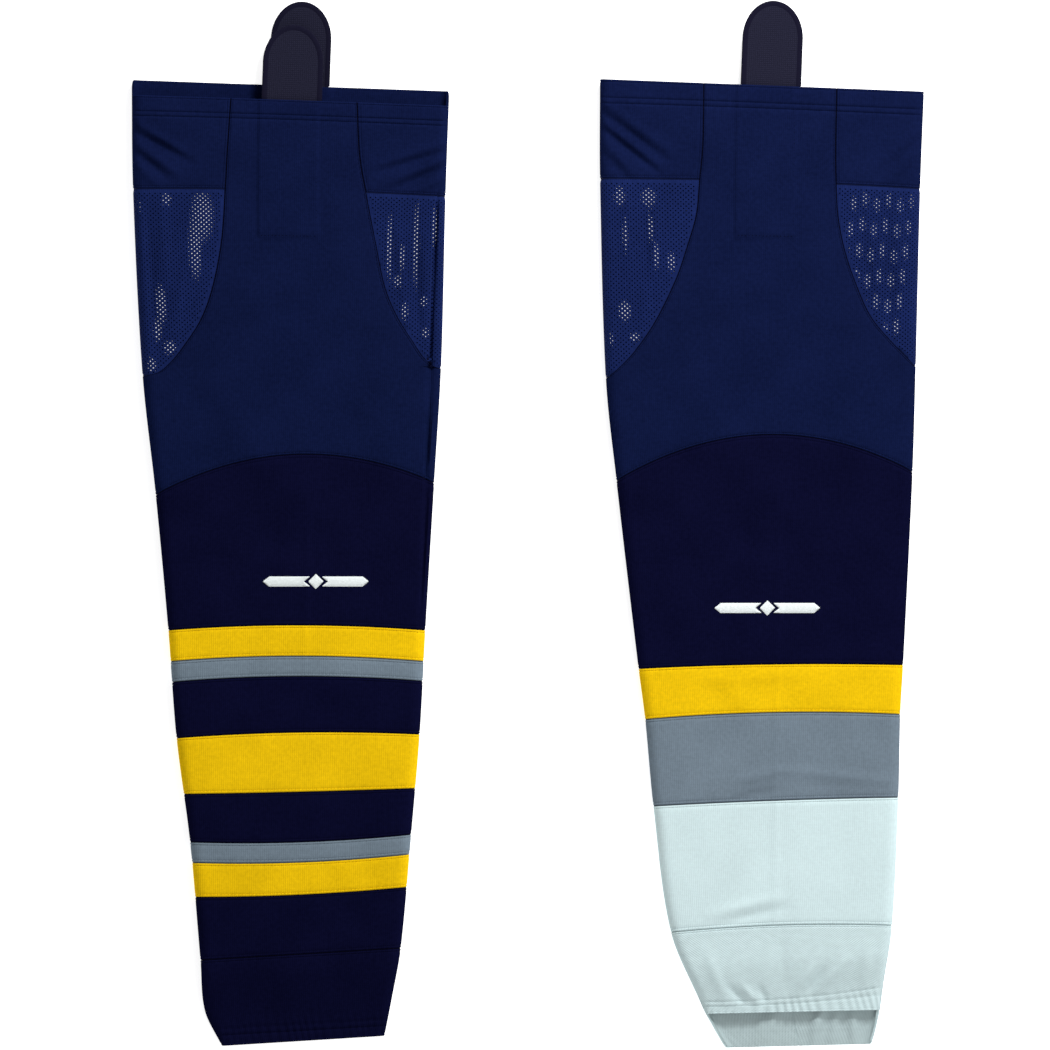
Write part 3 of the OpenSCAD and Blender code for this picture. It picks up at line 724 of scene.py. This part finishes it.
def mesh_insert(sock, side):
    """The perforated insert: one cloth round the side fold with real holes through it."""
    top = sock.yoke + SEAM_GAP / 2
    above_tip = np.array([12, 10, 8, 6.5, 5, 4, 3, 2, 1.4, 0.9, 0.5, 0.2])
    edge_s = np.concatenate([np.arange(top, sock.tip - 14, RIM_STEP), sock.tip - above_tip])
    reach = np.maximum(insert_span(sock, edge_s, side, SEAM_GAP / 2), 0.1)
    points = list(zip(reach, edge_s)) + list(zip(-reach[::-1], edge_s[::-1]))
    top_count = int(2 * reach[0] / RIM_STEP)
    points += [(x, top) for x in np.linspace(-reach[0], reach[0], top_count)[1:-1]]
    rim_count = len(points)
    loops = [list(range(rim_count))]
    corners = [2 * math.pi * (k + 0.5) / HOLE_CORNERS for k in range(HOLE_CORNERS)]
    centres = hole_places(sock, side, edge_s, reach)
    for d, s in centres:
        loops.append(list(range(len(points), len(points) + HOLE_CORNERS)))
        points += [(d + HOLE_RADIUS * math.cos(c), s + HOLE_RADIUS * math.sin(c)) for c in corners]
    edges = [(loop[k], loop[(k + 1) % len(loop)]) for loop in loops for k in range(len(loop))]
    _, _, triangles, *_ = delaunay_2d_cdt(points, edges, [], 1, 1e-6, False)
    triangles = np.array(triangles)
    hole_of = np.repeat(np.arange(len(centres)), HOLE_CORNERS)
    a, b, c = np.concatenate([np.full(rim_count, -1), hole_of])[triangles].T
    in_hole = (a >= 0) & (a == b) & (a == c)
    d, s = np.array(points).T
    dip = np.maximum(rolled(np.minimum(np.interp(s, edge_s, reach) - np.abs(d), s - top)), 0)
    cloth(side + "_mesh", sock, s, from_fold(sock, s, d, side), triangles[~in_hole], "mesh_knit", dip)


def facing_depth(sock, s, l):
    """The thigh facing lies against the cloth and steps over the two tabs' tails."""
    whole = sock.half_round(s)
    front = ease((TAB_WIDTH / 2 + 3 - np.abs(l - sock.tabs["front"][0])) / 3)
    from_back = np.abs(whole - np.abs(l) - sock.tabs["back"][0] * np.sign(l))
    back = ease((TAB_WIDTH / 2 + 3 - from_back) / 3)
    return PLY + 0.15 + (TAPE + 0.15) * np.maximum(front, back)


def thigh_facing(sock):
    s, l, dip = ring_grid(sock, (0.4, THIGH_HEM), top_seam=False, bottom_seam=False)
    depth = facing_depth(sock, s, l).ravel()
    gridded("top_hem_facing", sock, s, l, "upper_knit", dip, thick=0.8, depth=depth)


def ankle_casing(sock):
    """The elastic band and the turned cloth that covers it inside the ankle."""
    s_list = (sock.end - ANKLE_HEM, sock.end - 1.4)
    s, l, dip = ring_grid(sock, s_list, top_seam=False, bottom_seam=False, step=FINE)
    gridded("ankle_elastic", sock, s, l, "elastic", dip, thick=0.5, depth=PLY + 0.1)
    # Where the back shows below the front, the turned cloth reaches up out of sight
    turned = sock.lift + 9 if sock.lift else 15
    s_list = (sock.end - turned, sock.end - 0.6)
    s, l, dip = ring_grid(sock, s_list, top_seam=False, bottom_seam=False, step=FINE)
    taper = ease((s - s[0, 0]) / 5).ravel()
    # The white cuff's facing takes the darker copy of its knit, which is painted shade under the front's
    # hem
    look = "white_cuff_painted_shade" if sock.cuff_slot == "white_cuff_knit" else sock.cuff_slot
    thick, depth = 0.1 + 0.4 * taper, PLY + 0.1 + 0.55 * taper
    gridded("ankle_hem_facing", sock, s, l, look, 0 * dip, thick=thick, depth=depth)


# ---- threads

def capsules(starts, ends, normals, radius, sides, rings):
    """Short lengths of thread between pairs of points, their ends sunk into the cloth."""
    along = ends - starts
    length = np.linalg.norm(along, axis=1, keepdims=True)
    along = along / length
    across = np.cross(normals, along)
    across /= np.linalg.norm(across, axis=1, keepdims=True)
    up = np.cross(along, across)
    points, uv = [], []
    for t in np.linspace(0, 1, rings):
        arch = math.sin(math.pi * t)
        size = radius * (0.55 + 0.45 * arch)
        for k in range(sides):
            angle = 2 * math.pi * (k + 0.5) / sides
            points.append(starts + along * length * t + across * size * math.cos(angle)
                          + up * (size * math.sin(angle) + radius * (arch - 0.7)))
            uv.append(np.stack([np.full(len(starts), k * radius), length[:, 0] * t], axis=1))
    points = np.stack(points, axis=1).reshape(-1, 3)
    return points, tube_faces(len(starts), rings, sides), np.stack(uv, axis=1).reshape(-1, 2)


def resample(sock, s, l, pitch):
    """Even steps of a pitch along a line drawn on the cloth."""
    points = sock.place(s, l, np.zeros_like(s)) / MM
    run = np.concatenate([[0], np.cumsum(np.linalg.norm(np.diff(points, axis=0), axis=1))])
    t = np.arange(pitch / 2, run[-1], pitch)
    return np.interp(t, run, s), np.interp(t, run, l), run[-1]


def outward(sock, s, l, depth):
    n = sock.place(s, l, depth - 0.3) - sock.place(s, l, depth)
    return n / np.linalg.norm(n, axis=1, keepdims=True)


def topstitch(sock, s, l):
    """Runs of single stitches along a line on the cloth."""
    s0, l0, _ = resample(sock, s, l, STITCH_PITCH)
    reach = STITCH_PITCH * STITCH_COVER / 2
    s_line, l_line, _ = resample(sock, s, l, reach)
    if len(s0) < 3:
        return None
    middle = (np.arange(len(s0)) + 0.5) * STITCH_PITCH
    run = (np.arange(len(s_line)) + 0.5) * reach
    flush = np.full_like(s0, STITCH_DIP)
    starts, ends = (
        sock.place(np.interp(at, run, s_line), np.interp(at, run, l_line), flush)
        for at in (middle - reach, middle + reach)
    )
    return capsules(starts, ends, outward(sock, s0, l0, np.zeros_like(s0)), THREAD * MM, 6, 4)


def zigzag(sock, s, l, cross, depth=0.35, pitch=0.9, reach=0.34):
    """The seam's own thread, laced to and fro across the gap between two pieces."""
    s0, l0, _ = resample(sock, s, l, pitch)
    side = np.where(np.arange(len(s0)) % 2, reach, -reach)
    sz, lz = s0 + side * cross[0], l0 + side * cross[1]
    deep = np.full_like(sz, depth)
    points = sock.place(sz, lz, deep)
    normals = outward(sock, sz[:-1], lz[:-1], deep[:-1])
    return capsules(points[:-1], points[1:], normals, THREAD * MM, 4, 2)


def merged(sock, suffix, parts, look):
    """One object of many lengths of thread."""
    parts = [p for p in parts if p is not None]
    count, faces = 0, []
    for points, part_faces, _ in parts:
        faces += [[v + count for v in f] for f in part_faces]
        count += len(points)
    points, _, uv = zip(*parts)
    piece = new_object(f"{sock.name}_{suffix}", np.vstack(points), faces, np.vstack(uv), look)
    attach(piece, sock.body)
    return piece


def ring_line(sock, s, offset=0.0, arch=False):
    """A line round the sock at a distance below the thigh edge."""
    reach = float(sock.half_round(np.array([float(s)]))[0]) - 0.4
    l = np.linspace(-reach, reach, 260)
    line = np.full_like(l, float(s) + offset)
    return (line - sock.knee_rise(l) if arch else line), l


def side_line(sock, side, back, offset):
    """A line along a side seam, offset towards the panel."""
    s = np.linspace(0.15, sock.tip - 0.3, 220)
    l = sock.side_l(s, side) - offset
    sign = 1 if side == "right" else -1
    return s, (sock.half_round(s) - l if back else l) * sign


def fold_line(sock, side, above_tip):
    s = np.linspace(sock.tip - above_tip, sock.knee - 0.5, 60)
    return s, (sock.flat_half(s) + FOLD / 2) * (1 if side == "right" else -1)


def yoke_line(sock, side, offset=0.0):
    s = np.full(90, sock.yoke + offset)
    reach = insert_span(sock, s, side, 0.4)
    return s, from_fold(sock, s, np.linspace(-1, 1, 90) * reach, side)


def back_line(sock, s0, s1):
    s = np.linspace(s0 + 0.3, s1 - 0.3, 80)
    return s, sock.half_round(s)


THREAD_OF = {
    "shin_knit": "dark_thread", "gold_knit": "gold_thread", "grey_knit": "grey_thread",
    "white_knit": "white_thread", "white_cuff_knit": "white_thread",
}
# Of two cloths, the one that comes first here gives their seam its thread
LACING_ORDER = ("shin_knit", "grey_knit", "white_knit", "gold_knit", "white_cuff_knit")


def allowance(sock, s, l, cross, pitch=2.2, fill=PLY + 0.05):
    """The folded edges of the cloths inside a seam: a flat tube with a ridge in the gap."""
    pick = np.linspace(0, len(s) - 1, max(2, int(resample(sock, s, l, pitch)[2] / pitch)))
    s, l = np.interp(pick, np.arange(len(s)), s), np.interp(pick, np.arange(len(l)), l)
    half, ridge, top, bottom = ALLOWANCE_HALF, SEAM_GAP / 2 - 0.02, PLY + 0.05, PLY + 0.55
    place = (-half, -ridge - 0.04, -ridge, ridge, ridge + 0.04, half, half, 0, -half)
    depth = (top, top, fill, fill, top, top, bottom, bottom, bottom)
    lines = [(s + w * cross[0], l + w * cross[1]) for w in place]
    points = np.stack([sock.place(*line, np.full_like(s, d)) for line, d in zip(lines, depth)], axis=1)
    uv = np.stack([np.column_stack(line[::-1]) * MM for line in lines], axis=1)
    return points.reshape(-1, 3), tube_faces(1, len(s), len(place)), uv.reshape(-1, 2)


def seam(sock, line, cross):
    """What shows in a seam: the lacing thread over the folded edges."""
    return [zigzag(sock, *line, cross), allowance(sock, *line, cross)]


def seam_threads(sock):
    """Every seam of a sock, one object for each colour of thread."""
    looks = ["shin_knit"] + [look for _, look in sock.bands] + [sock.cuff_slot]
    parts = {"dark_thread": []}
    for s, pair in zip(sock.seams, zip(looks, looks[1:])):
        thread = THREAD_OF[min(pair, key=LACING_ORDER.index)]
        line = ring_line(sock, s, arch=s == sock.knee)
        parts.setdefault(thread, []).extend(seam(sock, line, (1, 0)))
    ends = sock.seams + (sock.end + 0.15,)
    for look, s0, s1 in zip(looks[1:], ends, ends[1:]):
        parts.setdefault(THREAD_OF[look], []).extend(seam(sock, back_line(sock, s0, s1), (0, 1)))
    dark = parts["dark_thread"]
    for side in SIDES:
        for back in (False, True):
            dark += seam(sock, side_line(sock, side, back, 0), (0, 1))
        dark.append(zigzag(sock, *fold_line(sock, side, 1.5), (0, 1)))
        dark.append(allowance(sock, *fold_line(sock, side, 5), (0, 1), fill=0.5))
        hidden = allowance(sock, *yoke_line(sock, side), (1, 0), fill=0.4)
        parts.setdefault("insert_thread", []).append(hidden)
    for thread, pieces in parts.items():
        piece = merged(sock, thread.replace("thread", "seams"), pieces, thread)
        if thread == "dark_thread":
            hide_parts(sock.name + "_seam_threads", sock.name + "_back_seam")


def tail_outline(sock):
    """The stitches that hold the front tab's tail to the front panel."""
    left, right = sock.tail_x - TAB_WIDTH / 2 + 1.5, sock.tail_x + TAB_WIDTH / 2 - 1.5
    bottom = TAIL + 6
    down, across = np.linspace(HEM_LINES[1] + 3, bottom, 60), np.linspace(left, right, 40)
    return (down, np.full(60, left)), (down, np.full(60, right)), (np.full(40, bottom), across)


def topstitching(sock):
    """Twin rows at the hems, and a row beside each seam in the colour of its cloth."""
    upper = [topstitch(sock, *ring_line(sock, s)) for s in HEM_LINES]
    upper += [topstitch(sock, s, l) for s, l in tail_outline(sock)]
    both = [(side, back) for side in SIDES for back in (False, True)]
    upper += [topstitch(sock, *side_line(sock, *edge, STITCH_LINE)) for edge in both]
    upper += [topstitch(sock, *yoke_line(sock, side, -STITCH_LINE)) for side in SIDES]
    upper += [topstitch(sock, *ring_line(sock, sock.knee, -STITCH_LINE, arch=True))]
    merged(sock, "upper_topstitch", upper, "navy_thread")
    by_look = {}
    for i, (_, look) in enumerate(sock.bands):
        rows = by_look.setdefault(THREAD_OF[look], [])
        if i:
            rows.append(topstitch(sock, *ring_line(sock, sock.seams[i], STITCH_LINE)))
        rows.append(topstitch(sock, *ring_line(sock, sock.seams[i + 1], -STITCH_LINE)))
    by_look.setdefault(THREAD_OF[sock.cuff_slot], []).extend(
        topstitch(sock, *ring_line(sock, s)) for s in (sock.cuff + STITCH_LINE,) + sock.casing_lines()
    )
    for look, rows in by_look.items():
        merged(sock, look.replace("thread", "topstitch"), rows, look)


# ---- embroidery

def spans(x):
    """Where the badge has thread at x from its middle: pairs of lowest and highest Y."""
    gem, gap, reach, bar, point = 6.0, 1.5, 37.5, 4.0, 5.0
    x = abs(x)
    if x < gem:
        found = [(-(gem - x), gem - x)]
    else:
        found = []
    start = gem + gap - 3
    end = start + reach
    if start < x < end:
        high = bar if x < end - point else bar * (end - x) / point
        notch = max(0.0, bar * (1 - (x - start) / point))
        found += [(notch, high), (-high, -notch)] if notch > 0 else [(-high, high)]
    return [(a, b) for a, b in found if b - a > 0.6]


def badge(sock):
    """Satin stitch: side by side threads that arch from edge to edge of each shape."""
    x0, y0 = sock.badge
    starts, ends = [], []
    for x in np.arange(-44.8, 45, 0.42):
        for low, high in spans(x):
            starts.append((x0 + x, y0 + low))
            ends.append((x0 + x + 0.25, y0 + high))
    starts, ends = np.array(starts), np.array(ends)
    rings, sides, radius = 7, 5, 0.3
    points, uv = [], []
    for t in np.linspace(0, 1, rings):
        middle = starts * (1 - t) + ends * t
        height = sock.above(middle[:, 0], middle[:, 1]) + 0.1 + 0.75 * math.sin(math.pi * t) ** 0.5
        for k in range(sides):
            angle = 2 * math.pi * k / sides
            points.append(np.column_stack([middle[:, 0] + radius * math.cos(angle), middle[:, 1],
                                           height + radius * math.sin(angle)]))
            uv.append(middle * MM)
    points = np.stack(points, axis=1).reshape(-1, 3) * MM
    uv = np.stack(uv, axis=1).reshape(-1, 2)
    faces = tube_faces(len(starts), rings, sides)
    piece = new_object(sock.name + "_satin_badge", points, faces, uv, "embroidery")
    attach(piece, sock.body)
    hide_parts(sock.name + "_badge")


# ---- hook-and-loop tabs

def hang_of(y):
    """How far a front tab has dropped at a distance y out of the hem."""
    bend = 12.0
    y = np.maximum(y, 0)
    return math.tan(TAB_HANG) * np.where(y < bend, y * y / (2 * bend), y - bend / 2)


def tab_frame(sock, side):
    """A function from a tab's own x, y and z to metres in the model's frame."""
    x_mid, _ = sock.tabs[side]
    width, centre, tilt = sock.rows[0, 1:4]
    angle = math.atan(-tilt / width)
    x0 = centre + x_mid
    y0 = TOP - (sock.drop if side == "front" else 0) - tilt * x_mid / width
    z0 = 2 * HALF - 1.25 - TAPE / 2 if side == "front" else 1.25 + TAPE / 2

    def to_frame(x, y, z):
        drop = hang_of(y) if side == "front" else 0
        turned_x = x0 + x * math.cos(angle) - y * math.sin(angle)
        turned_y = y0 + x * math.sin(angle) + y * math.cos(angle)
        return np.stack(np.broadcast_arrays(turned_x, turned_y, z0 + z - drop), axis=-1) * MM

    return to_frame


def tab(sock, side):
    """One strap from its tail to its rounded tip, and the overlocked edge of its free end."""
    to_frame = tab_frame(sock, side)
    length = sock.tabs[side][1]
    half = TAB_WIDTH / 2 - 0.8
    straight = length - TAB_TIP
    tip = np.linspace(0, math.pi / 2 - 0.02, 26)
    y_rows = np.concatenate([np.linspace(-TAIL, -4, 40), np.linspace(-3, straight, 46),
                             straight + (TAB_TIP - 0.8) * np.sin(tip[1:])])
    widths = np.concatenate([np.full(86, half), half * np.cos(tip[1:])])
    across = np.linspace(-1, 1, 29)
    x = widths[:, None] * across[None, :]
    y = np.repeat(y_rows[:, None], len(across), axis=1)
    upper = to_frame(x, y, TAPE / 2 - 0.05).reshape(-1, 3)
    lower = to_frame(x, y, 0.05 - TAPE / 2).reshape(-1, 3)
    uv = np.tile(np.stack([x.ravel(), y.ravel()], axis=1) * MM, (2, 1))
    name = f"{sock.name}_{side}"
    faces = both_sides(grid_faces(*x.shape), x.size)
    strap = new_object(name + "_strap", np.vstack([upper, lower]), faces, uv, "hook_and_loop_tape")
    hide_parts(name + "_tab", name + "_tab_tail")

    inset = BINDING / 2
    arc = np.linspace(0, math.pi, 90)
    path = np.concatenate([
        np.column_stack([np.full(100, half + 0.8 - inset), np.linspace(0.4, straight, 100)])[:-1],
        np.column_stack([(half + 0.8 - inset) * np.cos(arc), straight + (TAB_TIP - inset) * np.sin(arc)]),
        np.column_stack([np.full(100, inset - half - 0.8), np.linspace(straight, 0.4, 100)])[1:],
    ])
    run = np.concatenate([[0], np.cumsum(np.linalg.norm(np.diff(path, axis=0), axis=1))])
    even = np.linspace(0, run[-1], int(run[-1] / 0.4))
    path = np.column_stack([np.interp(even, run, path[:, 0]), np.interp(even, run, path[:, 1])])
    out = np.gradient(path, axis=0)
    out = np.column_stack([out[:, 1], -out[:, 0]]) / np.linalg.norm(out, axis=1, keepdims=True)
    sides = 12
    ridge = 1 + 0.07 * np.sin(2 * math.pi * even / 1.5)
    rings, uv = [], []
    for k in range(sides):
        angle = 2 * math.pi * k / sides
        wide = inset * np.sign(math.cos(angle)) * abs(math.cos(angle)) ** 0.6
        high = (TAPE / 2 + 0.2) * np.sign(math.sin(angle)) * abs(math.sin(angle)) ** 0.6 * ridge
        rings.append(to_frame(path[:, 0] + out[:, 0] * wide, path[:, 1] + out[:, 1] * wide, high))
        uv.append(np.column_stack([even, np.full(len(even), k * 1.0)]) * MM)
    points = np.stack(rings, axis=1).reshape(-1, 3)
    uv = np.stack(uv, axis=1).reshape(-1, 2)
    faces = tube_faces(1, len(even), sides)
    edge = new_object(name + "_strap_edge", points, faces, uv, "tape_binding")
    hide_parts(name + "_tab_binding")
    start, end = to_frame(0.0, -2.0, 0.0), to_frame(0.0, 9.0, 0.0)
    for piece in (strap, edge):
        tuple(start)
        tuple(end)
        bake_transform(piece)


# ---- the two socks

for sock in (STRIPED, BLOCK):
    panel(sock, back=False)
    panel(sock, back=True)
    for side in SIDES:
        yoke(sock, side)
        mesh_insert(sock, side)
    for i in range(len(sock.bands)):
        band(sock, i)
    cuff(sock)
    thigh_facing(sock)
    ankle_casing(sock)
    seam_threads(sock)
    topstitching(sock)
    badge(sock)
    for side in ("front", "back"):
        tab(sock, side)


# ---- table, lights and camera

def table():
    mesh = bpy.data.meshes.new("table")
    size, level = 3.0, -0.0006
    corners = [(-size, -size, level), (size, -size, level), (size, size, level), (-size, size, level)]
    mesh.from_pydata(corners, [], [(0, 1, 2, 3)])
    material = bpy.data.materials.new("table")
    material.use_nodes = True
    shader = material.node_tree.nodes["Principled BSDF"]
    shader.inputs["Base Color"].default_value = (0.9, 0.9, 0.9, 1)
    shader.inputs["Roughness"].default_value = 0.9
    shader.inputs["Emission Color"].default_value = (1, 1, 1, 1)
    shader.inputs["Emission Strength"].default_value = 0.75
    mesh.materials.append(material)
    linked("table", mesh)


def area_light(name, place, size, power):
    light = bpy.data.lights.new(name, "AREA")
    light.shape = "SQUARE"
    light.size = size
    light.energy = power
    lamp = linked(name, light)
    lamp.location = place
    lamp.rotation_euler = lamp.location.to_track_quat("Z", "Y").to_euler()


def camera():
    """Straight above, far off with a long lens, so that the view is nearly parallel."""
    height, frame_side = 15.0, 0.8334
    data = bpy.data.cameras.new("camera")
    data.sensor_width = 36
    data.lens = 36 * height / frame_side
    data.clip_end = 60
    scene.camera = linked("camera", data)
    scene.camera.location = (-0.002, -0.0002, height)


table()
area_light("key", (0.55, 1.35, 1.05), 0.5, 34)
area_light("fill", (1.0, -1.3, 1.3), 1.0, 11)
scene.world = scene.world or bpy.data.worlds.new("world")
scene.world.use_nodes = True
background = scene.world.node_tree.nodes["Background"]
background.inputs["Color"].default_value = (1, 1, 1, 1)
background.inputs["Strength"].default_value = 0.36
scene.view_settings.view_transform = "Standard"
camera()
